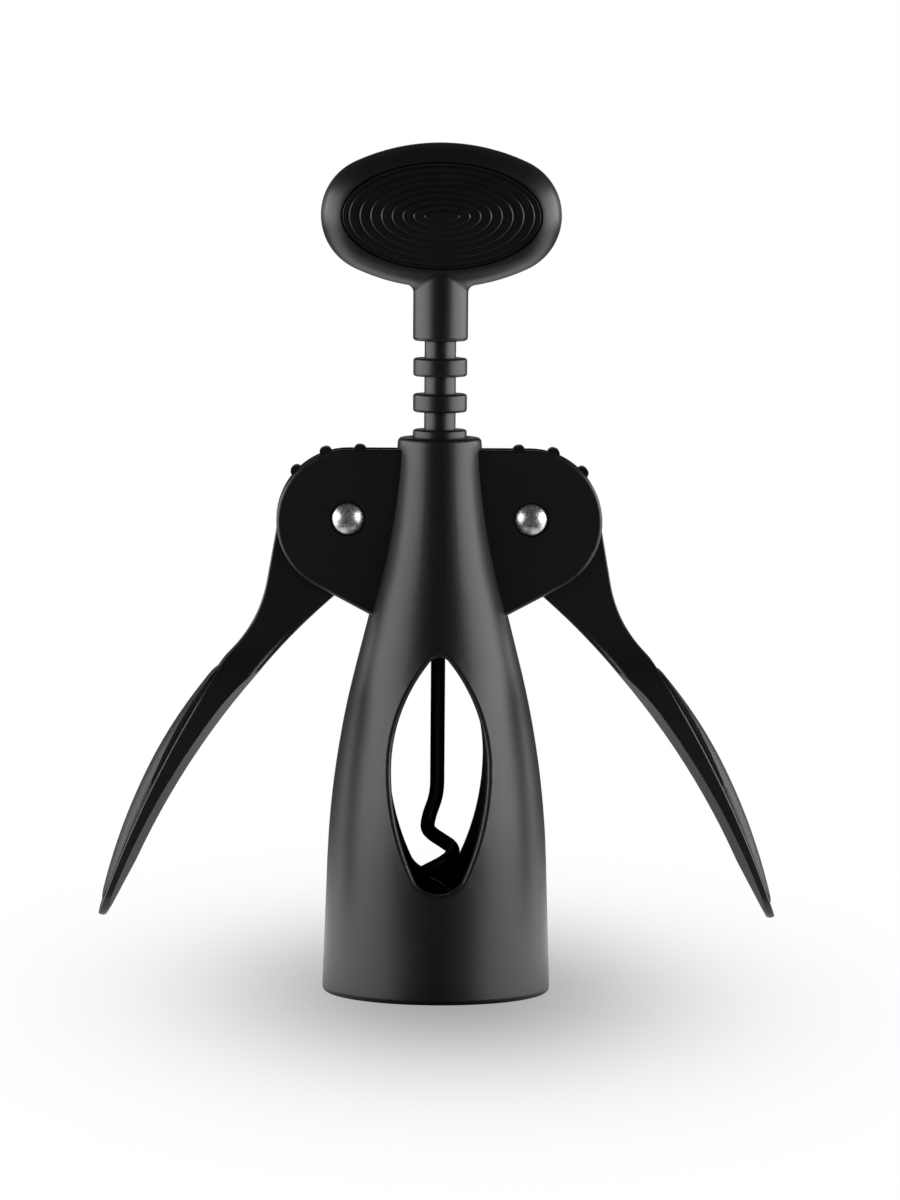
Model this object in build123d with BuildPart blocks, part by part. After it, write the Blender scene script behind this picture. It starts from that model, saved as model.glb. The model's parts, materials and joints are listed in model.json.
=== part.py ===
from build123d import *
import os
from math import cos, degrees, pi, radians, sin, tan

os.makedirs("parts", exist_ok=True)

# A winged corkscrew. The bell stands on z = 0 around the Z axis, its front looks along -Y, and the
# levers hang left and right, a little up from closed. Millimetres and degrees.

# Bell: stretches of its side from the rim up, and slopes that lean in from the vertical
base_radius = 21.4
skirt_slope = 1.9
skirt_height = 25.0
shoulder_rise = 36.5
neck_rise = 14.0
throat_rise = 24.7
collar_slope = 3.5
collar_land = 4.2
collar_wall = 2.35
bell_wall = 2.85
cavity_rise = 5.5
ceiling_slope = 50.0
bore_gap = 0.3
rim_round = 1.0
rim_break = 0.4
collar_round = 0.9
steepest_neck = 45.0
neck_slope_halvings = 40

# Leaf window, front and rear
window_half = 8.9
window_bottom = 15.5
window_middle = 43.3
window_top = 65.4
window_bottom_round = 5.0
window_top_round = 2.2
window_edge_round = 0.7

# Cheeks that carry the lever pivots
pivot_x = 17.2
collar_show = 2.2
slot_gap = 0.2
cheek_thickness = 1.6
cheek_shift_in = 0.2
cheek_drop = 0.5
cheek_over_hub = 1.65
cheek_slope = 28.0
cheek_round = 0.7
gear_room = 0.5

# Two-part pivot rivets
barrel_radius = 2.0
post_radius = 1.2
rivet_head_radius = 3.05
rivet_head_rim = 0.5
rivet_dome = 1.35
rivet_recess_gap = 0.25
rivet_recess_depth = 0.9
post_length = 5.6
post_tip_gap = 0.3

# Rack sleeve: rings turned on a core, with a last gap under the handle
rack_pitch = 6.675
ring_count = 7
ring_height = 3.45
ring_radius = 5.05
ring_round = 0.55
core_radius = 2.95
rack_rise = 17.95
top_gap_height = 3.1
pitch_depth = 1.05

# Levers: places are measured outboard and down from the pivot
tooth_count = 7
teeth_below_mesh = 1
mesh_gap = 5
mesh_play = 0.4625
tooth_rise = 0.8
tooth_tip_round = 1.0
hub_drop = 1.35
hub_half = 1.8
paddle_half = 8.0
paddle_corner = 4.5
flare_start = 18.0
flare_end = 36.0
heel_outer = (12.8, -0.6)
heel_bend = (15.0, 12.0)
arm_bend = (21.6, 25.1)
seat_start = (23.7, 27.75)
seat_middle = (34.8, 47.2)
tip_outer = (46.2, 74.1)
tip_inner = (44.9, 74.8)
belly_end = (39.2, 64.2)
belly_middle = (21.0, 34.3)
belly_start = (1.6, 14.0)
belly_round = 1.1
belly_half = 4.5
belly_bevel = 1.6

# Lever pads: reaches are measured along the paddle from the middle of the seat
pad_recess = 0.8
pad_lip = 1.8
pad_gap = 0.2
pad_corner = 4.0
pad_reach_up = 21.9
pad_reach_down = 27.0
pad_proud_up = 0.2
pad_proud = 2.05
pad_proud_down = 0.4
pad_edge_round = 0.3
lip_round = 0.3

# Worm
wire_radius = 1.35
coil_radius = 3.0
coil_pitch = 9.8
lead_height = 39.5
lead_radius = 1.75
lead_drop = 8.2
coil_quarters = 8
point_length = 4.5
point_radius = 0.3
gap_samples = 200

# Handle
oval_half_width = 22.5
oval_half_height = 13.55
oval_face_radius = 38.0
oval_thickness = 11.6
oval_bevel_width = 4.6
oval_bevel_depth = 1.67
oval_edge_round = 2.4
oval_face_round = 5.0
neck_over_rings = 0.1
neck_length = 9.9
neck_round = 0.7
neck_cover = 0.3
neck_blend = 1.4
inlay_rim_side = 3.85
inlay_rim_top = 3.65
inlay_gap = 0.2
inlay_recess = 1.5
inlay_sink = 0.4
inlay_step = 0.14
inlay_first_step = 1.25
inlay_eye = 3.4
inlay_eye_height = 0.95
inlay_steps = 8
shank_drop = 1.9
locking_pin_radius = 0.75
locking_pin_drop = 3.5
locking_pin_inset = 0.15

# Rack retaining ring and bottle guide ring
retainer_radius = 2.7
retainer_height = 2.2
guide_wall = 2.55
guide_height = 5.0
guide_inset = 1.0
guide_lead = 0.8

# Fits
running_clearance = 0.05
seat_clearance = 0.02
end_clearance = 0.1

# Radii and half widths that follow from the sizes above
neck_radius = ring_radius + neck_over_rings
bore_radius = neck_radius + bore_gap
collar_radius = bore_radius + collar_wall
guide_inner_radius = base_radius - bell_wall - guide_wall
pitch_line_radius = ring_radius - pitch_depth
gear_pitch_radius = pivot_x - pitch_line_radius
tooth_tip_radius = gear_pitch_radius + tooth_rise
hub_radius = gear_pitch_radius - hub_drop
cheek_radius = hub_radius + cheek_over_hub
slot_half = hub_half + slot_gap
cheek_face = slot_half + cheek_thickness
rivet_seat = cheek_face - rivet_recess_depth
tooth_width = rack_pitch - ring_height - 2 * mesh_play
tooth_step = degrees(rack_pitch / gear_pitch_radius)
pad_half = paddle_half - pad_lip
inlay_half_width = oval_half_width - inlay_rim_side
inlay_half_height = oval_half_height - inlay_rim_top
inlay_band = (inlay_half_width - inlay_first_step - inlay_eye) / (inlay_steps - 1)
inlay_slope = (inlay_half_height - inlay_eye_height) / (inlay_half_width - inlay_eye)

# Heights, one upon the other from the rim
shoulder_height = skirt_height + shoulder_rise
cavity_height = shoulder_height + cavity_rise
neck_height = shoulder_height + neck_rise
collar_height = neck_height + throat_rise
bell_height = collar_height + collar_land
cheek_top = bell_height - collar_show
cheek_z = cheek_top - cheek_radius
pivot_height = cheek_z + cheek_drop
rack_top = bell_height + rack_rise
first_ring_height = rack_top - top_gap_height - ring_height / 2
rack_bottom = first_ring_height - (ring_count - 1) * rack_pitch - ring_height / 2
mesh_height = first_ring_height - mesh_gap * rack_pitch + rack_pitch / 2
mesh_angle = degrees((mesh_height - pivot_height) / gear_pitch_radius)
neck_bottom = rack_top + end_clearance
oval_height = neck_bottom + neck_length + oval_half_height
shank_top = oval_height - shank_drop
locking_pin_height = shank_top - locking_pin_drop
pivot_plane = Plane((pivot_x, 0, pivot_height), x_dir=(1, 0, 0), z_dir=(0, -1, 0))
oval_plane = Plane((0, 0, oval_height), x_dir=(1, 0, 0), z_dir=(0, -1, 0))


def lean_to_collar(slope):
    """How far the bell's side leans in between its rim and its top, with a neck of that slope."""
    straight = skirt_height * tan(radians(skirt_slope)) + neck_rise * tan(radians(slope))
    curved = shoulder_rise * tan(radians(skirt_slope + slope) / 2)
    curved += throat_rise * tan(radians(slope + collar_slope) / 2)
    return straight + curved + collar_land * tan(radians(collar_slope))


# Slope of the neck that leads from the rim to the collar, found by halving a step
neck_slope = 0
slope_step = steepest_neck
for halving in range(neck_slope_halvings):
    slope_step = slope_step / 2
    if lean_to_collar(neck_slope + slope_step) < base_radius - collar_radius:
        neck_slope = neck_slope + slope_step
shoulder_radius = shoulder_rise / (sin(radians(neck_slope)) - sin(radians(skirt_slope)))
throat_radius = throat_rise / (sin(radians(neck_slope)) - sin(radians(collar_slope)))


def lean(start, slope, height):
    """Point at a height on a straight wall that rises from start and leans in by slope."""
    return Vector(start.X - (height - start.Y) * tan(radians(slope)), height)


def skirt_and_shoulder(inset):
    """Lower side of the bell, moved in by inset: leaning skirt, then convex shoulder."""
    foot = Vector(base_radius - inset, 0)
    skirt = Line(foot, lean(foot, skirt_slope, skirt_height))
    return JernArc(skirt @ 1, skirt % 1, shoulder_radius, neck_slope - skirt_slope)


def outer_radius(height):
    """Radius of the bell's outside at a height below the end of its shoulder."""
    lean_in = height * tan(radians(skirt_slope))
    if height > skirt_height:
        turned = sin(radians(skirt_slope)) + (height - skirt_height) / shoulder_radius
        lean_in = skirt_height * tan(radians(skirt_slope))
        lean_in += shoulder_radius * (cos(radians(skirt_slope)) - (1 - turned**2) ** 0.5)
    return base_radius - lean_in


# One cheek plate, right and front: a round end with tangents into the neck
cheek_x = pivot_x - cheek_shift_in
tangent_x = cheek_x + cheek_radius * sin(radians(cheek_slope))
tangent_z = cheek_z - cheek_radius * cos(radians(cheek_slope))
with BuildPart() as cheek:
    with BuildSketch(Plane.XZ.offset(slot_half)):
        with Locations((cheek_x, cheek_z)):
            Circle(cheek_radius)
        with BuildLine():
            Polyline(
                (cheek_x, cheek_top),
                (0, cheek_top),
                (0, tangent_z - tangent_x * tan(radians(cheek_slope))),
                (tangent_x, tangent_z),
                (cheek_x, cheek_z),
                close=True,
            )
        make_face()
    extrude(amount=cheek_thickness)
    fillet(cheek.faces().sort_by(Axis.Y)[0].edges(), cheek_round)

with BuildPart() as bell_body:
    with BuildSketch(Plane.XZ):
        with BuildLine():
            shoulder = skirt_and_shoulder(0)
            neck = Line(shoulder @ 1, lean(shoulder @ 1, neck_slope, neck_height))
            throat = JernArc(neck @ 1, neck % 1, throat_radius, collar_slope - neck_slope)
            collar = Line(throat @ 1, lean(throat @ 1, collar_slope, bell_height))
            Polyline(collar @ 1, (0, bell_height), (0, 0), (base_radius, 0))
        make_face()
    revolve(axis=Axis.Z)
    add(cheek.part)
    mirror(cheek.part, about=Plane.XZ)
    mirror(cheek.part, about=Plane.YZ)
    add(cheek.part, rotation=(0, 0, 180))
    with BuildSketch(Plane.XZ):
        with BuildLine():
            inner = skirt_and_shoulder(bell_wall)
            cavity_top = lean(inner @ 1, neck_slope, cavity_height)
            ceiling = cavity_height + (cavity_top.X - bore_radius) * tan(radians(ceiling_slope))
            Polyline(
                inner @ 1,
                cavity_top,
                (bore_radius, ceiling),
                (bore_radius, bell_height),
                (0, bell_height),
                (0, 0),
                (base_radius - bell_wall, 0),
            )
        make_face()
    revolve(axis=Axis.Z, mode=Mode.SUBTRACT)
    with Locations((-pivot_x, 0, pivot_height), (pivot_x, 0, pivot_height)):
        Cylinder(tooth_tip_radius + gear_room, 2 * slot_half, rotation=(90, 0, 0), mode=Mode.SUBTRACT)
        Cylinder(barrel_radius + seat_clearance, 2 * cheek_face, rotation=(90, 0, 0), mode=Mode.SUBTRACT)
    for face in (-1, 1):
        with BuildSketch(Plane.XZ.offset(face * rivet_seat)):
            with Locations((-pivot_x, pivot_height), (pivot_x, pivot_height)):
                Circle(rivet_head_radius + rivet_recess_gap)
        extrude(amount=face * rivet_recess_depth, mode=Mode.SUBTRACT)
    with BuildSketch(Plane.XZ) as leaf:
        with BuildLine():
            TangentArc((window_half, window_middle), (0, window_top), tangent=(0, 1))
            TangentArc((window_half, window_middle), (0, window_bottom), tangent=(0, -1))
            mirror(about=Plane.YZ)
        make_face()
        fillet(leaf.vertices().sort_by(Axis.Y)[0], window_bottom_round)
        fillet(leaf.vertices().sort_by(Axis.Y)[-1], window_top_round)
    extrude(amount=base_radius, both=True, mode=Mode.SUBTRACT)
    window_rims = [
        edge
        for edge in bell_body.edges(Select.LAST)
        if abs(Vector(edge.center().X, edge.center().Y).length - outer_radius(edge.center().Z)) < bell_wall / 2
        and edge.geom_type != GeomType.LINE
    ]
    fillet(window_rims, window_edge_round)
    rim_edges = bell_body.edges().filter_by(GeomType.CIRCLE).group_by(Axis.Z)[0].sort_by(SortBy.RADIUS)
    fillet(rim_edges[-1], rim_round)
    rim_edges = bell_body.edges().filter_by(GeomType.CIRCLE).group_by(Axis.Z)[0].sort_by(SortBy.RADIUS)
    chamfer(rim_edges[0], rim_break)
    collar_edges = bell_body.edges().filter_by(GeomType.CIRCLE).group_by(Axis.Z)[-1].sort_by(SortBy.RADIUS)
    fillet(collar_edges[-1], collar_round)
bell_body.part.label = "bell_body"
export_step(bell_body.part, "parts/bell_body.step")

# Plastic ring in the mouth, which centres the neck of the bottle
with BuildPart() as bottle_guide_ring:
    with BuildSketch(Plane.XZ):
        mouth = Vector(base_radius - bell_wall - seat_clearance, 0)
        guide_top = guide_inset + guide_height
        with BuildLine():
            Polyline(
                lean(mouth, skirt_slope, guide_inset),
                lean(mouth, skirt_slope, guide_top),
                (guide_inner_radius, guide_top),
                (guide_inner_radius, guide_inset + guide_lead),
                (guide_inner_radius + guide_lead, guide_inset),
                close=True,
            )
        make_face()
    revolve(axis=Axis.Z)
bottle_guide_ring.part.label = "bottle_guide_ring"
export_step(bottle_guide_ring.part, "parts/bottle_guide_ring.step")


def rivet_head(direction, shaft_radius):
    """Half outline of a domed head on its seat, from the axis to the foot of the shaft, in radius and Y."""
    rim = direction * (rivet_seat + rivet_head_rim)
    seat = direction * rivet_seat
    TangentArc((0, rim + direction * rivet_dome), (rivet_head_radius, rim), tangent=(1, 0))
    Polyline((rivet_head_radius, rim), (rivet_head_radius, seat), (shaft_radius, seat))


pivot_axis = Axis((pivot_x, 0, pivot_height), (0, 1, 0))
profile_plane = Plane((pivot_x, 0, pivot_height))
barrel_end = rivet_seat - end_clearance
post_end = rivet_seat - post_length
hole_end = post_end - post_tip_gap
with BuildPart() as right_pivot_barrel:
    with BuildSketch(profile_plane):
        with BuildLine():
            rivet_head(-1, barrel_radius)
            Polyline(
                (barrel_radius, -rivet_seat),
                (barrel_radius, barrel_end),
                (post_radius + seat_clearance, barrel_end),
                (post_radius + seat_clearance, hole_end),
                (0, hole_end),
                (0, -rivet_seat - rivet_head_rim - rivet_dome),
            )
        make_face()
    revolve(axis=pivot_axis)
with BuildPart() as right_pivot_post:
    with BuildSketch(profile_plane):
        with BuildLine():
            rivet_head(1, post_radius)
            Polyline(
                (post_radius, rivet_seat),
                (post_radius, post_end),
                (0, post_end),
                (0, rivet_seat + rivet_head_rim + rivet_dome),
            )
        make_face()
    revolve(axis=pivot_axis)

# Rack sleeve: every gap between two rings takes a tooth of each lever
with BuildPart() as rack_sleeve:
    with BuildSketch(Plane.XZ) as rack_half:
        with Locations((core_radius / 2, (rack_top + rack_bottom) / 2)):
            Rectangle(core_radius, rack_top - rack_bottom)
        for ring in range(ring_count):
            with Locations((ring_radius / 2, first_ring_height - ring * rack_pitch)):
                Rectangle(ring_radius, ring_height)
        fillet(rack_half.vertices().group_by(Axis.X)[-1], ring_round)
    revolve(axis=Axis.Z)
    with Locations((0, 0, rack_top)):
        Hole(wire_radius + running_clearance)
rack_sleeve.part.label = "rack_sleeve"
export_step(rack_sleeve.part, "parts/rack_sleeve.step")

# Ring on the shank that holds the rack sleeve up against the handle
with BuildPart() as rack_retaining_ring:
    with BuildSketch(Plane.XY.offset(rack_bottom - end_clearance)):
        Circle(retainer_radius)
        Circle(wire_radius + seat_clearance, mode=Mode.SUBTRACT)
    extrude(amount=-retainer_height)
rack_retaining_ring.part.label = "rack_retaining_ring"
export_step(rack_retaining_ring.part, "parts/rack_retaining_ring.step")


def place(point):
    """A place measured outboard and down from the pivot, in the pivot plane's own axes."""
    return Vector(point[0], -point[1])


def toward_rack(radius, angle):
    """A place at an angle above the line from the pivot to the rack."""
    return Vector(-radius * cos(radians(angle)), radius * sin(radians(angle)))


seat_arc = ThreePointArc(place(seat_start), place(seat_middle), place(tip_outer))
seat_centre = seat_arc.arc_center
seat_radius = seat_arc.radius
seat_normal = (place(seat_middle) - seat_centre).normalized()
pad_plane = Plane(
    pivot_plane.from_local_coords(place(seat_middle)),
    x_dir=(0, 1, 0),
    z_dir=(seat_normal.X, 0, seat_normal.Y),
)


def on_seat(along, proud):
    """A place beside the seat: along it from its middle, towards the hub, and proud of it."""
    turned = seat_normal.rotate(Axis.Z, degrees(along / seat_radius))
    return seat_centre + turned * (seat_radius + proud)


# Room for the pad, from a floor under the seat to above it
with BuildPart() as pad_room:
    with BuildSketch(pad_plane):
        with Locations((0, (pad_reach_up - pad_reach_down) / 2)):
            RectangleRounded(
                2 * (pad_half + pad_gap), pad_reach_up + pad_reach_down + 2 * pad_gap, pad_corner + pad_gap
            )
    extrude(amount=paddle_half, both=True)
    with BuildSketch(pivot_plane):
        with Locations(seat_centre):
            Circle(seat_radius - pad_recess)
    extrude(amount=paddle_half, both=True, mode=Mode.SUBTRACT)

# Room beside the belly, which leaves it narrower than the seat
belly_arc = ThreePointArc(place(belly_end), place(belly_middle), place(belly_start))
belly_centre = pivot_plane.from_local_coords(belly_arc.arc_center)
with BuildPart() as belly_room:
    with BuildSketch(Plane(belly_centre, x_dir=(1, 0, 0), z_dir=(0, 0, 1))):
        for side in (-1, 1):
            with BuildLine():
                inside = (belly_arc.radius - belly_bevel, side * (2 * belly_half - paddle_half))
                outside = (belly_arc.radius + 2 * belly_bevel, side * (2 * paddle_half - belly_half))
                Polyline(inside, outside, (inside[0], outside[1]), close=True)
            make_face()
    revolve(axis=Axis(belly_centre, (0, 1, 0)))

with BuildPart() as right_lever:
    with BuildSketch(pivot_plane) as lever_side:
        Circle(hub_radius)
        for tooth in range(tooth_count):
            angle = mesh_angle + (tooth - teeth_below_mesh) * tooth_step
            with Locations(Location(toward_rack(tooth_tip_radius / 2, angle), -angle)):
                RectangleRounded(tooth_tip_radius, tooth_width, tooth_tip_round)
        with BuildLine():
            Line(place(heel_outer), place(heel_bend))
            heel_way = place(heel_bend) - place(heel_outer)
            TangentArc(place(heel_bend), place(arm_bend), tangent=heel_way)
            TangentArc(place(seat_start), place(arm_bend), tangent=-(seat_arc % 0))
            ThreePointArc(place(seat_start), place(seat_middle), place(tip_outer))
            Polyline(place(tip_outer), place(tip_inner), place(belly_end))
            ThreePointArc(place(belly_end), place(belly_middle), place(belly_start))
            Polyline(place(belly_start), (0, 0), place(heel_outer))
        make_face()
    extrude(amount=paddle_half, both=True)
    with BuildSketch(Plane((pivot_x, 0, pivot_height), x_dir=(0, 1, 0), z_dir=(1, 0, 0))) as lever_front:
        flare_middle = ((hub_half + paddle_half) / 2, -(flare_start + flare_end) / 2)
        with BuildLine():
            Polyline((0, tooth_tip_radius), (hub_half, tooth_tip_radius), (hub_half, -flare_start))
            TangentArc((hub_half, -flare_start), flare_middle, tangent=(0, -1))
            TangentArc((paddle_half, -flare_end), flare_middle, tangent=(0, 1))
            Polyline((paddle_half, -flare_end), place((paddle_half, tip_inner[1])), place((0, tip_inner[1])))
            mirror(about=Plane.YZ)
        make_face()
        fillet(lever_front.vertices().group_by(Axis.Y)[0], paddle_corner)
    extrude(amount=2 * tip_outer[0], both=True, mode=Mode.INTERSECT)
    belly_faces = [
        right_lever.faces().sort_by_distance(pivot_plane.from_local_coords(spot))[0]
        for spot in (place(belly_middle), (place(belly_end) + place(tip_inner)) / 2)
    ]
    belly_edges = [edge for face in belly_faces for edge in face.edges() if abs(edge.center().Y) > hub_half / 2]
    fillet(belly_edges, belly_round)
    add(belly_room.part, mode=Mode.SUBTRACT)
    add(pad_room.part, mode=Mode.SUBTRACT)
    lip_edges = [
        edge
        for edge in right_lever.edges().filter_by(GeomType.CIRCLE)
        if abs(edge.radius - seat_radius) < seat_clearance and abs(edge.center().Y) > pad_half + pad_gap
    ]
    fillet(lip_edges, lip_round)
    with Locations((pivot_x, 0, pivot_height)):
        Cylinder(barrel_radius + running_clearance, 2 * hub_half, rotation=(90, 0, 0), mode=Mode.SUBTRACT)

with BuildPart() as right_lever_pad:
    with BuildSketch(pivot_plane):
        floor = seat_clearance - pad_recess
        up = pad_reach_up + pad_gap
        down = -pad_reach_down - pad_gap
        with BuildLine():
            ThreePointArc(on_seat(up, pad_proud_up), on_seat(0, pad_proud), on_seat(down, pad_proud_down))
            Line(on_seat(down, pad_proud_down), on_seat(down, floor))
            ThreePointArc(on_seat(down, floor), on_seat(0, floor), on_seat(up, floor))
            Line(on_seat(up, floor), on_seat(up, pad_proud_up))
        make_face()
    extrude(amount=paddle_half, both=True)
    with BuildSketch(pad_plane):
        with Locations((0, (pad_reach_up - pad_reach_down) / 2)):
            RectangleRounded(2 * pad_half, pad_reach_up + pad_reach_down, pad_corner)
    extrude(amount=paddle_half, both=True, mode=Mode.INTERSECT)
    pad_top = right_lever_pad.faces().sort_by_distance(pivot_plane.from_local_coords(on_seat(0, pad_proud)))[0]
    fillet(pad_top.edges(), pad_edge_round)

# The right side's pieces, and their mirror images on the left
right_pieces = {
    "lever": right_lever.part,
    "lever_pad": right_lever_pad.part,
    "pivot_barrel": right_pivot_barrel.part,
    "pivot_post": right_pivot_post.part,
}
for name, piece in right_pieces.items():
    with BuildPart() as twin:
        mirror(piece, about=Plane.YZ)
    piece.label = "right_" + name
    twin.part.label = "left_" + name
    export_step(piece, "parts/right_" + name + ".step")
    export_step(twin.part, "parts/left_" + name + ".step")


def biarc(start, start_way, end, end_way):
    """Two arcs that leave start along start_way and reach end along end_way."""
    across = end - start
    ways = start_way + end_way
    bend = 1 - start_way.dot(end_way)
    along = across.dot(ways)
    reach = ((along**2 + 2 * bend * across.dot(across)) ** 0.5 - along) / (2 * bend)
    joint = (start + start_way * reach + end - end_way * reach) * 0.5
    first = TangentArc(start, joint, tangent=start_way)
    second = TangentArc(joint, end, tangent=first % 1)
    return [first, second]


def coil_station(quarter):
    """Place and way of the wire after so many quarter turns, going down with the screw from the left side."""
    angle = pi - quarter * pi / 2
    grown = min(1, quarter / 2)
    radius = lead_radius + (coil_radius - lead_radius) * grown**2 * (3 - 2 * grown)
    growth = (coil_radius - lead_radius) * 3 * grown * (1 - grown)
    height = lead_height - lead_drop - quarter * coil_pitch / 4
    outward = Vector(cos(angle), sin(angle), 0)
    onward = Vector(sin(angle), -cos(angle), 0)
    way = outward * growth + onward * (radius * pi / 2) - Vector(0, 0, coil_pitch / 4)
    return outward * radius + Vector(0, 0, height), way.normalized()


with BuildPart() as worm:
    with BuildLine() as wire_path:
        shank = Line((0, 0, shank_top), (0, 0, lead_height))
        arcs = []
        here, way = Vector(0, 0, lead_height), Vector(0, 0, -1)
        for quarter in range(coil_quarters + 1):
            there, next_way = coil_station(quarter)
            arcs += biarc(here, way, there, next_way)
            here, way = there, next_way
    with BuildSketch(Plane((0, 0, shank_top), z_dir=(0, 0, -1))):
        Circle(wire_radius)
    sweep()
    with BuildSketch(Plane(here, z_dir=way)):
        Circle(wire_radius)
    with BuildSketch(Plane(here + way * point_length, z_dir=way)):
        Circle(point_radius)
    loft()
    with Locations((0, 0, locking_pin_height)):
        Cylinder(locking_pin_radius + seat_clearance, 4 * wire_radius, rotation=(90, 0, 0), mode=Mode.SUBTRACT)
worm.part.label = "worm"
export_step(worm.part, "parts/worm.step")
coil = Wire(arcs)
samples = [coil.position_at(i / gap_samples) for i in range(gap_samples + 1)]
apart = int(gap_samples * 3 * coil_radius / coil.length)
own_gap = min((a - b).length for i, a in enumerate(samples) for b in samples[i + apart :])
print("worm tightest bend", min(arc.radius for arc in arcs), "least gap to itself", own_gap - 2 * wire_radius)

# Handle: an oval of four arcs with a rounded edge, on a round neck
end_radius = oval_face_radius**2 - oval_half_width**2 - (oval_face_radius - oval_half_height) ** 2
end_radius = end_radius / (2 * (oval_face_radius - oval_half_width))
face_centre = Vector(0, oval_half_height - oval_face_radius)
end_centre = Vector(oval_half_width - end_radius, 0)
arcs_meet = face_centre + (end_centre - face_centre).normalized() * oval_face_radius
inlay_floor = oval_thickness / 2 - inlay_recess
inlay_foot = oval_height - inlay_half_height - inlay_gap
with BuildPart() as handle_frame:
    with BuildSketch(oval_plane):
        with BuildLine():
            TangentArc((0, oval_half_height), arcs_meet, tangent=(1, 0))
            TangentArc((oval_half_width, 0), arcs_meet, tangent=(0, 1))
            mirror(about=Plane.YZ)
            mirror(about=Plane.XZ)
        make_face()
    extrude(amount=oval_thickness / 2, both=True)
    for oval_face in handle_frame.faces().filter_by(Axis.Y):
        chamfer(oval_face.edges(), oval_bevel_depth, oval_bevel_width, reference=oval_face)
    oval_edges = handle_frame.edges().group_by(Axis.Y)
    fillet(oval_edges[2] + oval_edges[-3], oval_edge_round)
    oval_edges = handle_frame.edges().group_by(Axis.Y)
    fillet(oval_edges[0] + oval_edges[-1], oval_face_round)
    with BuildSketch(Plane.XY.offset(neck_bottom)):
        Circle(neck_radius)
    extrude(amount=inlay_foot - neck_cover - neck_bottom)
    fillet(handle_frame.edges(Select.LAST).filter_by(GeomType.BSPLINE), neck_blend)
    fillet(handle_frame.edges().filter_by(GeomType.CIRCLE).group_by(Axis.Z)[0], neck_round)
    for face in (-1, 1):
        with BuildSketch(Plane.XZ.offset(face * inlay_floor)):
            with Locations((0, oval_height)):
                Ellipse(inlay_half_width + inlay_gap, inlay_half_height + inlay_gap)
        extrude(amount=face * oval_thickness, mode=Mode.SUBTRACT)
    with BuildSketch(Plane.XY.offset(neck_bottom)):
        Circle(wire_radius + seat_clearance)
    extrude(amount=shank_top + end_clearance - neck_bottom, mode=Mode.SUBTRACT)
    with Locations((0, 0, locking_pin_height)):
        Cylinder(locking_pin_radius + seat_clearance, oval_thickness, rotation=(90, 0, 0), mode=Mode.SUBTRACT)
handle_frame.part.label = "handle_frame"
export_step(handle_frame.part, "parts/handle_frame.step")

# Pin across the handle that keeps the shank from turning or pulling out, under the inlays
with BuildPart() as worm_locking_pin:
    with Locations((0, 0, locking_pin_height)):
        Cylinder(locking_pin_radius, 2 * (inlay_floor - locking_pin_inset), rotation=(90, 0, 0))
worm_locking_pin.part.label = "worm_locking_pin"
export_step(worm_locking_pin.part, "parts/worm_locking_pin.step")

# Rubber inlays: a low dome of elliptical steps
for name, face in (("handle_inlay_front", 1), ("handle_inlay_back", -1)):
    with BuildPart() as inlay:
        level = inlay_floor + seat_clearance
        with BuildSketch(Plane.XZ.offset(face * level)):
            with Locations((0, oval_height)):
                Ellipse(inlay_half_width, inlay_half_height)
        extrude(amount=face * (inlay_recess - inlay_sink))
        level = level + inlay_recess - inlay_sink
        for step in range(inlay_steps):
            inset = inlay_first_step + step * inlay_band
            with BuildSketch(Plane.XZ.offset(face * level)):
                with Locations((0, oval_height)):
                    Ellipse(inlay_half_width - inset, inlay_half_height - inset * inlay_slope)
            extrude(amount=face * inlay_step)
            level = level + inlay_step
    inlay.part.label = name
    export_step(inlay.part, "parts/" + name + ".step")
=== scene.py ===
# %% [markdown]
# A winged corkscrew, dressed for its picture
#
# The real tool is a black cast bell with two geared levers, a rack that they lift, a wire worm and an oval
# handle. Its hard pieces come from the imported model, already in place and in metres. This lesson adds what
# the model leaves plain: the studio, the coats and metals, and the soft rubber pieces. The dressed tool has
# to stay the same size.

import json
from math import cos, pi, radians, sin, sqrt

import bpy
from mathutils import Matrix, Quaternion, Vector


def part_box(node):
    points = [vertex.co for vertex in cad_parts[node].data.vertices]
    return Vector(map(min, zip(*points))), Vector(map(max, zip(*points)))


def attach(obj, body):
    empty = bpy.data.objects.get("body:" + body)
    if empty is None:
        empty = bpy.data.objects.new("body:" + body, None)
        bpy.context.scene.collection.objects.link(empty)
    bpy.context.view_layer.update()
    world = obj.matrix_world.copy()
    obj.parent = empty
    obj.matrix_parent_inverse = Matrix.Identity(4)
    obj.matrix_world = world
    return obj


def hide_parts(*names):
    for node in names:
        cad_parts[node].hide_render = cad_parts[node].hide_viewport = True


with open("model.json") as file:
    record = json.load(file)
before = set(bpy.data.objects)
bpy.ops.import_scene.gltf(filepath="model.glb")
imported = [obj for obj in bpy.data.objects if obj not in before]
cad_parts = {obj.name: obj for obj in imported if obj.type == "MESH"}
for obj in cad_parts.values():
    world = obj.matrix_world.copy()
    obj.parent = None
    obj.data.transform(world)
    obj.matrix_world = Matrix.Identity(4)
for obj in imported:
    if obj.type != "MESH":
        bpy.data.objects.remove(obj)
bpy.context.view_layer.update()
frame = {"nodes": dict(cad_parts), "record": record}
nodes = frame["nodes"]

# %% [markdown]
# The camera
#
# The picture was taken from far away with a long lens, a little above the tool, so upright lines stay nearly
# parallel and the rim shows as a thin ellipse. A camera can be placed by eye, but here its distance and
# height follow from how flat that ellipse is, and its lens from the size of the tool in a frame of 900 by
# 1200. The longer side of the frame sees the whole width of the sensor.

# %% Place the camera
frame_height_px = 1200
focal_px = 7495
sensor_mm = 36.0
camera_distance = 1.400
camera_height = 0.196
camera_turn = radians(-1.15)
camera_roll = radians(0.43)
looked_at = Vector((0.00215, 0, 0.0738))

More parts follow.
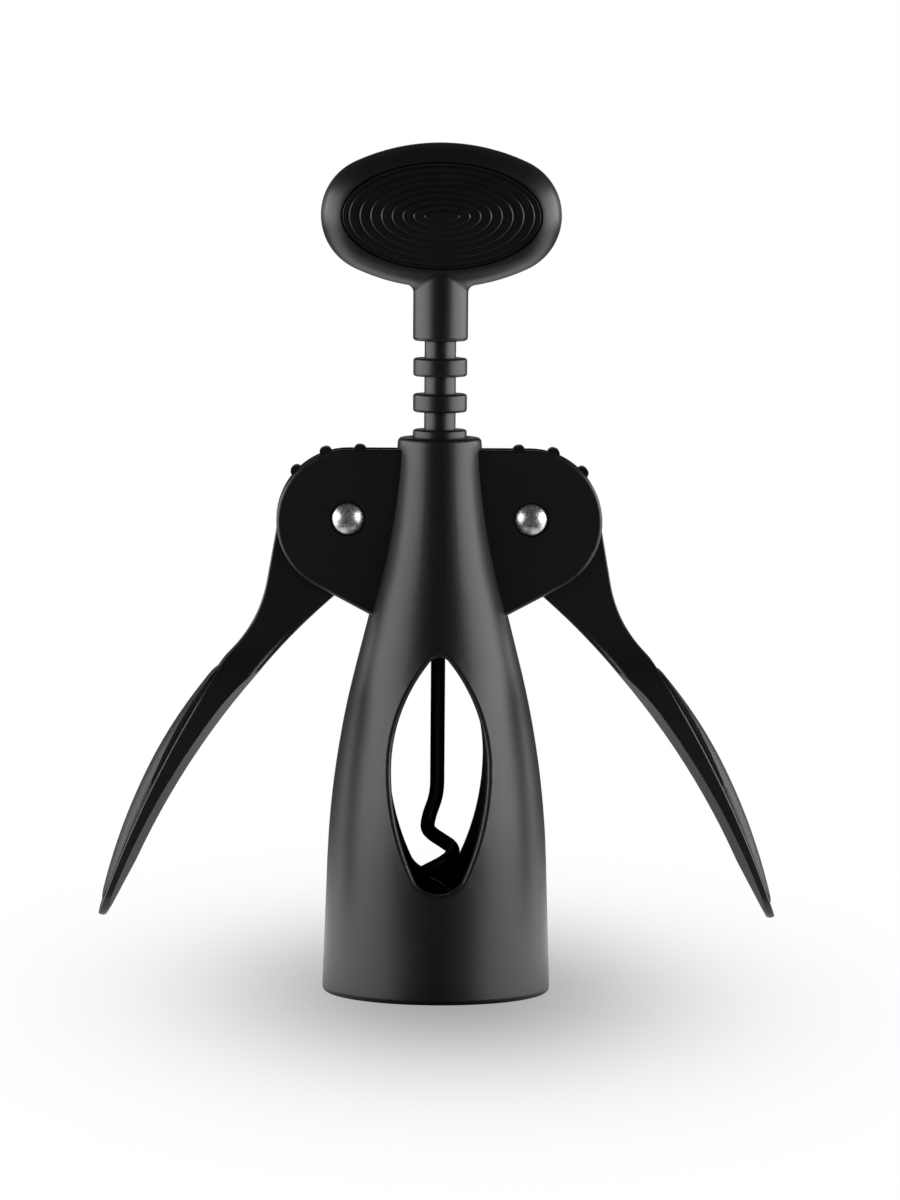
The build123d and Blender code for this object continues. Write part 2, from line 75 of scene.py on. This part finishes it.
camera_data = bpy.data.cameras.new("camera")
camera_data.sensor_width = sensor_mm
camera_data.lens = focal_px / frame_height_px * sensor_mm
camera = bpy.data.objects.new("camera", camera_data)
bpy.context.scene.collection.objects.link(camera)
camera.location = (camera_distance * sin(camera_turn), -camera_distance * cos(camera_turn), camera_height)
camera.rotation_mode = "QUATERNION"
level = (looked_at - camera.location).to_track_quat("-Z", "Y")
camera.rotation_quaternion = level @ Quaternion((0, 0, 1), camera_roll)
bpy.context.scene.camera = camera
bpy.context.scene.view_settings.view_transform = "Standard"
print("lens", round(camera_data.lens, 1), "mm")

# %% [markdown]
# Sums with sockets
#
# A finish is a small calculation that runs at every point of a surface. In Blender each step of it is a node,
# and wiring nodes by hand takes many lines. This class wraps one socket, so that plain Python sums add the
# Math nodes for us, and one method adds any other kind of node: settings first, then values or links.

# %% Wrap a socket
class Socket:
    """One output of a node tree that takes part in Python sums."""

    def __init__(self, tree, output=None):
        self.tree = tree
        self.output = output

    def node(self, kind, inputs=None, out=0, **settings):
        """Add a node with its settings, and values or links for its inputs."""
        made = self.tree.nodes.new(kind)
        for name, value in settings.items():
            setattr(made, name, value)
        for key, value in (inputs or {}).items():
            self.feed(made.inputs[key], value)
        return Socket(self.tree, made.outputs[out] if made.outputs else None)

    def feed(self, target, value):
        """Link a socket to an input, or set the input's own value."""
        if isinstance(value, Socket):
            self.tree.links.new(value.output, target)
        else:
            target.default_value = value

    def maths(self, operation, first, second=0.0):
        return self.node("ShaderNodeMath", {0: first, 1: second}, operation=operation)

    def __add__(self, other):
        return self.maths("ADD", self, other)

    def __radd__(self, other):
        return self.maths("ADD", other, self)

    def __sub__(self, other):
        return self.maths("SUBTRACT", self, other)

    def __rsub__(self, other):
        return self.maths("SUBTRACT", other, self)

    def __mul__(self, other):
        return self.maths("MULTIPLY", self, other)

    def __rmul__(self, other):
        return self.maths("MULTIPLY", other, self)

    def __pow__(self, other):
        return self.maths("POWER", self, other)

    def fade(self, start, end):
        """0 up to start and 1 from end, with a soft step between."""
        ends = {"Value": self, "From Min": start, "From Max": end}
        return self.node("ShaderNodeMapRange", ends, interpolation_type="SMOOTHSTEP")

    def between(self, low, high):
        """low where this is 0 and high where it is 1."""
        return low + (high - low) * self


# %% [markdown]
# The studio
#
# The tool stands on white paper between two wide soft lights. A satin black surface shows little colour of
# its own: what we see is the lights' reflection, so their places decide where the grey bands lie. Each panel
# reaches from well in front of the tool to well behind it, and straight ahead the studio stays dark, which
# keeps the middle of the bell black. The right panel is a little brighter, as in the picture.

# %% Hang the lights
panel_out = 0.90
panel_back = -0.06
panel_width = 1.62
panel_height = 0.55
left_brightness = 3.8
right_brightness = 4.6


def softbox(name, side, brightness):
    """A rectangular light beside the tool that faces it, with a face of that brightness."""
    data = bpy.data.lights.new(name, "AREA")
    data.shape = "RECTANGLE"
    data.size = panel_width
    data.size_y = panel_height
    data.energy = brightness * pi * panel_width * panel_height
    light = bpy.data.objects.new(name, data)
    bpy.context.scene.collection.objects.link(light)
    light.location = (side * panel_out, panel_back, panel_height / 2)
    light.rotation_mode = "QUATERNION"
    to_tool = Vector((0, 0, panel_height / 2)) - light.location
    light.rotation_quaternion = to_tool.to_track_quat("-Z", "Y")
    light.visible_camera = False
    print(name, "of", panel_width, "by", panel_height, "m")


softbox("left_softbox", -1, left_brightness)
softbox("right_softbox", 1, right_brightness)

# %% [markdown]
# White all round
#
# The camera sees white wherever it looks past the tool. The tool itself should not: a white room in front
# would turn the black coat grey. The world can tell which ray asks, so it answers white to the camera and a
# dim room to reflections, with one bright sheet high behind the tool that draws the thin lines along its
# upper edges.

# %% Paint the world
room_grey = 0.07
sheet_sides = 0.92
sheet_foot = 0.05
sheet_middle = 0.3
light_path = "ShaderNodeLightPath"
split = "ShaderNodeSeparateXYZ"

world = bpy.data.worlds.new("studio_room")
bpy.context.scene.world = world
world.use_nodes = True
world.node_tree.nodes.clear()
room = Socket(world.node_tree)
to_camera = room.node(light_path, out="Is Camera Ray")
direction = room.node("ShaderNodeTexCoord", out="Generated")
backward = room.node(split, {0: direction}, out="Y")
upward = room.node(split, {0: direction}, out="Z")
sheet_behind = backward.fade(sheet_sides, 1.0) * upward.fade(sheet_foot, sheet_middle)
brightness = room.maths("MAXIMUM", to_camera, sheet_behind.between(room_grey, 1))
background = room.node("ShaderNodeBackground", {"Color": (1, 1, 1, 1), "Strength": brightness})
room.node("ShaderNodeOutputWorld", {"Surface": background})
print("world has", len(world.node_tree.nodes), "nodes")

# %% [markdown]
# The floor
#
# In the picture the paper is pure white but for one wide, soft shadow round the foot of the tool. A plane far
# larger than the tool stands for the paper, so that its edge is never seen.

# %% Lay the floor
floor_half = 4.0
bpy.ops.object.select_all(action="DESELECT")
bpy.ops.mesh.primitive_plane_add(size=2 * floor_half)
floor = bpy.context.object
floor.name = "paper_floor"
print(floor.name, "of", 2 * floor_half, "m")

# %% [markdown]
# Shadow and shine on the paper
#
# Light that has to be this even is easier to paint than to set up: the paper glows, and a bell curve over the
# distance from the tool takes some of the glow away as a painted shadow. Reflections see the same paper with
# painted light at the sides and close to the foot, and painted shade further in front and under the bell.
# Distances are in metres from the tool's axis: across to the right, and along to the back.

# %% Paint the paper
# depth, middle and reach of the painted shadow on the paper's glow
shadow_depth = 0.64
shadow_middle = 0.002
shadow_width = 0.045
shadow_length = 0.104
# brightness of the painted light that reflections see on the paper, dim to lit
paper_dim = 0.06
paper_lit = 1.8
beside_start, beside_end = 0.01, 0.14
behind_start, behind_end = 0.05, 0.25
near_share = 0.7
near_start, near_end = 0.06, 0.11
near_gap = 0.03
foot_inside, foot_outside = 0.018, 0.024

paper_finish = bpy.data.materials.new("white_paper")
paper_finish.use_nodes = True
paper_finish.node_tree.nodes.clear()
paper = Socket(paper_finish.node_tree)
spot = paper.node("ShaderNodeTexCoord", out="Object")
across = paper.node(split, {0: spot}, out="X")
along = paper.node(split, {0: spot}, out="Y")
aside = paper.maths("ABSOLUTE", across)
away = (across**2 + along**2) ** 0.5

# painted shadow: a bell curve round the foot of the tool takes glow away from the paper
far = ((across - shadow_middle) * (1 / shadow_width)) ** 2 + (along * (1 / shadow_length)) ** 2
shaded = 1 - shadow_depth * paper.maths("EXPONENT", -1 * far)
# painted light for reflections: bright beside the tool and near its foot, with painted shade under the bell
beside = (aside + along).fade(beside_start, beside_end) * (1 - along.fade(behind_start, behind_end))
near = (1 - away.fade(near_start, near_end)) * aside.fade(0, near_gap)
painted_light = paper.maths("MAXIMUM", beside, near_share * near * shaded)
mirrored = (paper_dim + paper_lit * painted_light) * away.fade(foot_inside, foot_outside)
to_camera = paper.node(light_path, out="Is Camera Ray")
glow = to_camera * shaded + (1 - to_camera) * mirrored
emission = paper.node("ShaderNodeEmission", {"Strength": glow})
paper.node("ShaderNodeOutputMaterial", {"Surface": emission})
floor.data.materials.append(paper_finish)
print("paper has", len(paper_finish.node_tree.nodes), "nodes")

# %% [markdown]
# A start for every finish
#
# Each finish on the tool is one Principled shader. Numbers that are the same all over are set on the shader's
# own sockets, and only what changes over the surface is wired. Patterns are measured in metres on Object
# coordinates, so they keep their scale on every piece and move with it.

# %% Begin a finish
def new_finish(name, **constants):
    """A material with one Principled shader, its constants set, and a socket to start sums from."""
    finish = bpy.data.materials.new(name)
    finish.use_nodes = True
    shader = finish.node_tree.nodes["Principled BSDF"]
    for key, value in constants.items():
        shader.inputs[key.replace("_", " ").title().replace("Ior", "IOR")].default_value = value
    return finish, shader, Socket(finish.node_tree)


def grain(start, size, detail=2.0):
    """Noise from 0 to 1 with spots of about that size in metres."""
    place = start.node("ShaderNodeTexCoord", out="Object")
    return start.node("ShaderNodeTexNoise", {"Vector": place, "Scale": 1 / size, "Detail": detail})


def wire(start, shader, shade, roughness, relief, depth):
    """Wire a grey, a roughness, and bumps of that depth in metres where relief goes from 0 to 1."""
    colour = start.node("ShaderNodeCombineColor", {0: shade, 1: shade, 2: shade})
    bump = start.node("ShaderNodeBump", {"Height": relief, "Distance": depth})
    start.feed(shader.inputs["Base Color"], colour)
    start.feed(shader.inputs["Roughness"], roughness)
    start.feed(shader.inputs["Normal"], bump)


# %% [markdown]
# Satin black coat
#
# The castings are sprayed with a satin black coat. Close up such a coat isn't quite even: it has a fine
# orange peel, and its gloss drifts a little from place to place. Two noises give that, one a hundredth of a
# millimetre high for the peel and a wide one for the gloss. The worm's coat is the same, but slicker.

# %% Mix the coats for the castings and the wire
drift_size = 0.012
shade_drift = 0.2
gloss_below, gloss_above = 0.04, 0.01
peel_size = 0.00035
peel_gloss = 0.06
peel_height = 0.000012


def black_coat(name, shade, roughness):
    finish, shader, start = new_finish(name, specular_ior_level=0.5)
    drift = grain(start, drift_size)
    peel = grain(start, peel_size, detail=3.0)
    tone = drift.between(shade * (1 - shade_drift), shade * (1 + shade_drift))
    gloss = drift.between(roughness - gloss_below, roughness + gloss_above) + peel_gloss * peel
    wire(start, shader, tone, gloss, peel, peel_height)
    print("mixed", name)
    return finish


casting_coat = black_coat("satin_black_coat", shade=0.0025, roughness=0.37)
wire_coat = black_coat("slick_black_coat", shade=0.003, roughness=0.33)

# %% [markdown]
# Bright steel
#
# The rivets are plain steel, tumbled until their domes have a fine mottle of lighter and darker spots. Metal
# takes its look from reflections, so the mottle goes into the roughness and a shallow bump as well as the
# colour.

# %% Mix the steel for the rivets
mottle_size = 0.0004
mottle_start, mottle_end = 0.35, 0.65
mottle_height = 0.000006
steel_dark, steel_light = 0.5, 0.76
steel_smooth, steel_rough = 0.27, 0.35

rivet_steel, shader, start = new_finish("tumbled_steel", metallic=1.0)
mottle = grain(start, mottle_size, detail=4.0).fade(mottle_start, mottle_end)
tone = mottle.between(steel_dark, steel_light)
wire(start, shader, tone, mottle.between(steel_smooth, steel_rough), mottle, mottle_height)
print("mixed", rivet_steel.name)

# %% [markdown]
# Soft black rubber
#
# The inlays and pads are soft rubber with a fine moulded grain that catches light as tiny specks. The inlays
# are the smoother ones, so their terraces keep sharp bright lines, and thumbs need the rougher pads. So one
# function mixes both, with its own roughness and depth of grain for each.

# %% Mix the rubber for the inlays and the pads
pebble_size = 0.00032
pebble_roughness = 0.12
rubber_dark, rubber_light = 0.001, 0.005


def black_rubber(name, roughness, depth):
    finish, shader, start = new_finish(name, specular_ior_level=0.5)
    pebble = grain(start, pebble_size)
    tone = pebble.between(rubber_dark, rubber_light)
    wire(start, shader, tone, roughness + pebble_roughness * pebble, pebble, depth)
    print("mixed", name)
    return finish


inlay_rubber = black_rubber("inlay_rubber", roughness=0.24, depth=0.00005)
pad_rubber = black_rubber("pad_rubber", roughness=0.44, depth=0.00009)

# %% [markdown]
# Matt plastic
#
# The ring in the mouth of the bell, which guides the bottle, is matt plastic. It lies in the dark inside the
# bell, so a faint haze in its grey and its roughness is enough.

# %% Mix the plastic for the guide ring
haze_size = 0.0008
haze_height = 0.00002
plastic_dark, plastic_light = 0.012, 0.018
plastic_smooth, plastic_rough = 0.56, 0.68

ring_plastic, shader, start = new_finish("matt_ring_plastic", specular_ior_level=0.4)
haze = grain(start, haze_size)
tone = haze.between(plastic_dark, plastic_light)
wire(start, shader, tone, haze.between(plastic_smooth, plastic_rough), haze, haze_height)
print("mixed", ring_plastic.name)

# %% [markdown]
# Dress the pieces of the model
#
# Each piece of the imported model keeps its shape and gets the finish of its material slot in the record. The
# soft pieces among them get theirs too, and are replaced further on.

# %% Give every piece its finish
finish_of_slot = {
    "black_coated_casting": casting_coat,
    "black_coated_wire": wire_coat,
    "bright_rivet_steel": rivet_steel,
    "black_rubber": inlay_rubber,
    "guide_ring_plastic": ring_plastic,
}
for subpart in frame["record"]["subparts"]:
    piece = nodes[subpart["node"]]
    piece.data.materials.clear()
    piece.data.materials.append(finish_of_slot[subpart["material_slot"]])
print("dressed", len(nodes), "nodes")

# %% [markdown]
# Rubber inlays of the handle
#
# Both faces of the handle hold an oval of rubber with terraces like a shallow stadium turned inside out: the
# middle is highest. It could be turned on a lathe and squeezed, but the ovals grow flatter towards the
# middle. By hand it starts as one filled circle on the floor of its seat, scaled to the outer oval.

# %% Lay the oval
oval_points = 160


def filled_oval(name, centre, half_width, half_height):
    """A flat oval that stands upright, with its width along X."""
    bpy.ops.object.select_all(action="DESELECT")
    bpy.ops.mesh.primitive_circle_add(
        vertices=oval_points,
        radius=1,
        fill_type="NGON",
        location=centre,
        rotation=(radians(90), 0, 0),
    )
    oval = bpy.context.object
    oval.name = name
    oval.scale = (half_width, half_height, 1)
    bpy.ops.object.transform_apply(location=True, rotation=True, scale=True)
    return oval


# %% [markdown]
# Terraces with rounded lips
#
# The oval is then extruded and scaled again and again, one ring at a time. Every terrace ends in a rounded
# lip, because the lips catch the side lights as thin bright lines, and then falls to a narrow groove at the
# foot of the next lip. A ring's height follows from its width, down to the small eye in the middle.

# %% Raise the terraces
terrace_count = 9
first_terrace = 0.00125
terrace_width = 0.002
terrace_dip = 0.00026
lip_radius = 0.0004
lip_steps = 5
groove_width = lip_radius / 3
eye_height = 0.00095
inlay_crease = radians(40)


def stepped_inlay(node, facing):
    """The oval of rubber in a face of the handle, which looks along Y by facing."""
    low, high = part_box(node)
    middle = (low + high) / 2
    half_width = (high.x - low.x) / 2
    half_height = (high.z - low.z) / 2
    seat, crown = (high.y, low.y) if facing < 0 else (low.y, high.y)
    first_lip = abs(crown - seat) - (terrace_count - 1) * (lip_radius - terrace_dip)
    inlay = filled_oval(node + "_rubber", (middle.x, seat, middle.z), half_width, half_height)

    inner_lips = [half_width - first_terrace - step * terrace_width for step in range(terrace_count - 1)]
    lips = [half_width] + inner_lips
    slope = (half_height - eye_height) / (half_width - lips[-1])
    now = [half_width, half_height]

    def ring(reach, rise):
        """One more ring of the oval: the top moves out by rise and shrinks to that half width."""
        height = half_height - (half_width - reach) * slope
        bpy.ops.mesh.extrude_region_move(TRANSFORM_OT_translate={"value": (0, facing * rise, 0)})
        share = (reach / now[0], 1, height / now[1])
        bpy.ops.transform.resize(value=share, center_override=(middle.x, 0, middle.z))
        now[:] = reach, height

    bpy.ops.object.mode_set(mode="EDIT")
    bpy.ops.mesh.select_all(action="SELECT")
    for lip, next_lip in zip(lips, lips[1:] + [0]):
        # the wall below the first lip, and a ring on the spot below the others
        ring(lip, first_lip - lip_radius if lip == half_width else 0)
        for step in range(1, lip_steps + 1):
            turn = radians(90) * step / lip_steps
            before = radians(90) * (step - 1) / lip_steps
            ring(lip - lip_radius * (1 - cos(turn)), lip_radius * (sin(turn) - sin(before)))
        if next_lip:
            ring(next_lip + groove_width, -terrace_dip)
            ring(next_lip, 0)
    bpy.ops.mesh.select_all(action="SELECT")
    bpy.ops.mesh.normals_make_consistent(inside=False)
    bpy.ops.object.mode_set(mode="OBJECT")
    bpy.ops.object.shade_smooth_by_angle(angle=inlay_crease)
    inlay.data.materials.append(inlay_rubber)
    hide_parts(node)
    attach(inlay, "spindle")
    print(inlay.name, len(inlay.data.polygons), "faces")


stepped_inlay("handle_inlay_front", -1)
stepped_inlay("handle_inlay_back", 1)

# %% [markdown]
# Where the lever pads lie
#
# A thumb pad lies in a shallow seat along each lever. The seat is a long arc, so three of its points,
# measured from the hinge, give the centre and the radius that the rest is built on. The pad reaches further
# down the lever than up.

# %% Measure the seat
seat_places = ((0.0237, -0.02775), (0.0348, -0.0472), (0.0462, -0.0741))
pad_up = 0.0219
pad_down = 0.0270
pad_length = pad_up + pad_down


def circle_through(a, b, c):
    """Centre and radius of the circle through three points of a plane."""
    ab, ac = b - a, c - a
    twice_area = 2 * (ab.x * ac.y - ab.y * ac.x)
    x = (ac.y * ab.length_squared - ab.y * ac.length_squared) / twice_area
    y = (ab.x * ac.length_squared - ac.x * ab.length_squared) / twice_area
    return a + Vector((x, y)), Vector((x, y)).length


hinges = {joint["name"]: joint for joint in frame["record"]["behaviour"]["joints"]}
hinge_x, _, hinge_z = hinges["right_lever_hinge"]["pos_m"]
seat_start, seat_middle, seat_end = [Vector((hinge_x + x, hinge_z + z)) for x, z in seat_places]
seat_centre, seat_radius = circle_through(seat_start, seat_middle, seat_end)


def turn_to(place):
    """The seat's normal at a distance from the pad's upper end, as a direction in X and Z."""
    ahead = seat_middle - seat_centre
    turn = (pad_up - place) / seat_radius
    x = ahead.x * cos(turn) - ahead.y * sin(turn)
    z = ahead.x * sin(turn) + ahead.y * cos(turn)
    return Vector((x, z)).normalized()


print("seat radius", round(seat_radius * 1000, 1), "mm")

# %% [markdown]
# The outline of a pad
#
# Laid flat, a pad is a long strip with round corners. We plan it as rings across the lever, each with its
# distance from the upper end and its half width. They lie closer together in the corners, where the width
# changes, than along the straight sides.

# %% Plan the rings
pad_half = 0.0062
pad_corner = 0.0040
pad_rings = 48
corner_rings = 8

quarter = [radians(90) * step / corner_rings for step in range(corner_rings + 1)]
corner = [(pad_corner * (1 - cos(turn)), pad_half - pad_corner * (1 - sin(turn))) for turn in quarter]
straight = (pad_length - 2 * pad_corner) / pad_rings
sides = [(pad_corner + step * straight, pad_half) for step in range(1, pad_rings)]
rings = corner + sides + [(pad_length - place, width) for place, width in reversed(corner)]
print("pad of", len(rings), "rings")

# %% [markdown]
# The pad as a sheet
#
# The floor of the pad starts as the edge of a grid, a row of points across the lever. The row is spun about
# the seat's centre, one ring after another, and each ring is squeezed to its width. A plane bent by a
# modifier would do as well, but this puts the rings just where the corners need them.

# %% Spin the sheet
pad_floor = 0.00078
pad_columns = 24
grid_half = 1.0

first = seat_centre + turn_to(0) * (seat_radius - pad_floor)
bpy.ops.object.select_all(action="DESELECT")
bpy.ops.mesh.primitive_grid_add(
    x_subdivisions=1,
    y_subdivisions=pad_columns,
    size=2 * grid_half,
    location=(first.x + grid_half, 0, first.y),
)
right_pad = bpy.context.object
right_pad.name = "right_lever_pad_rubber"
bpy.ops.object.transform_apply(location=True, rotation=True, scale=True)
bpy.ops.object.mode_set(mode="EDIT")
bpy.ops.mesh.select_mode(type="VERT")
bpy.ops.mesh.select_all(action="DESELECT")
bpy.ops.object.mode_set(mode="OBJECT")
for vertex in right_pad.data.vertices:
    vertex.select = vertex.co.x > first.x + grid_half
bpy.ops.object.mode_set(mode="EDIT")
bpy.ops.mesh.delete(type="VERT")
bpy.ops.mesh.select_all(action="SELECT")
bpy.ops.transform.resize(value=(1, rings[0][1] / grid_half, 1), center_override=(0, 0, 0))
for (place, width), (next_place, next_width) in zip(rings, rings[1:]):
    bpy.ops.mesh.spin(
        steps=1,
        angle=(place - next_place) / seat_radius,
        center=(seat_centre.x, 0, seat_centre.y),
        axis=(0, 1, 0),
    )
    bpy.ops.transform.resize(value=(1, next_width / width, 1), center_override=(0, 0, 0))
bpy.ops.object.mode_set(mode="OBJECT")
print("sheet of", len(right_pad.data.vertices), "points")

# %% [markdown]
# How the rubber swells
#
# The real pad is fullest under the thumb and runs out thin towards its ends and edges. That could be
# sculpted, but a formula keeps it even: a parabola along the lever, a fall towards the edges that grows from
# the upper end, and a quarter round at both ends. A vertex group holds it as shares of the thickest place.

# %% Weigh the points of the sheet
swell_up, swell_middle, swell_down = 0.0002, 0.00205, 0.0004
edge_fall = 0.9
fall_from_end = 1.45
end_round = 0.0016
thickest = pad_floor + swell_middle


def swell(place, across):
    """How far the rubber stands over the seat's edge there, with across from -1 to 1."""
    lengthwise = place - pad_up
    reach, end = (pad_up, swell_up) if lengthwise < 0 else (pad_down, swell_down)
    height = swell_middle + (end - swell_middle) * (lengthwise / reach) ** 2
    fall = min(edge_fall, fall_from_end * place / pad_length)
    from_end = min(place, pad_length - place, end_round) / end_round
    return height * (1 - fall * across**4) * sqrt(1 - (1 - from_end) ** 2)


thickness = right_pad.vertex_groups.new(name="thickness")
for vertex in right_pad.data.vertices:
    ahead = Vector((vertex.co.x, vertex.co.z)) - seat_centre
    place = -ahead.angle_signed(turn_to(0)) * seat_radius
    place = min(max(place, 0), pad_length)
    share = (pad_floor + swell(place, vertex.co.y / pad_half)) / thickest
    thickness.add([vertex.index], share, "REPLACE")
print("thickest place", round(thickest * 1000, 2), "mm")

# %% [markdown]
# A body for the pad
#
# Solidify turns the sheet into a body and reads its thickness from the vertex group. A small bevel then
# softens the rim, as moulded rubber has no sharp edges. Both are applied, so that the pad is a plain mesh.

# %% Thicken the pad
pad_bevel = 0.0002
bevel_steps = 3
pad_crease = radians(50)

body = right_pad.modifiers.new("body", "SOLIDIFY")
body.thickness = thickest
body.offset = 1
body.vertex_group = thickness.name
soft_edge = right_pad.modifiers.new("soft_edge", "BEVEL")
soft_edge.width = pad_bevel
soft_edge.segments = bevel_steps
soft_edge.limit_method = "ANGLE"
soft_edge.angle_limit = pad_crease
for modifier in ("body", "soft_edge"):
    bpy.ops.object.modifier_apply(modifier=modifier)
bpy.ops.object.shade_smooth_by_angle(angle=pad_crease)
right_pad.data.materials.append(pad_rubber)
print(right_pad.name, len(right_pad.data.polygons), "faces")

# %% [markdown]
# The other pad
#
# The left pad is the mirror image of the right one, so it is copied and turned over instead of modelled
# again. A negative scale turns a mesh inside out, so its normals are recalculated. Each pad then rides on its
# own lever.

# %% Mirror the pad
bpy.ops.object.duplicate()
left_pad = bpy.context.object
left_pad.name = "left_lever_pad_rubber"
left_pad.scale = (-1, 1, 1)
bpy.ops.object.transform_apply(location=True, rotation=True, scale=True)
bpy.ops.object.mode_set(mode="EDIT")
bpy.ops.mesh.select_all(action="SELECT")
bpy.ops.mesh.normals_make_consistent(inside=False)
bpy.ops.object.mode_set(mode="OBJECT")
for pad, side in ((right_pad, "right"), (left_pad, "left")):
    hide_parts(side + "_lever_pad")
    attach(pad, side + "_wing")
    print(pad.name, "rides on", side + "_wing")
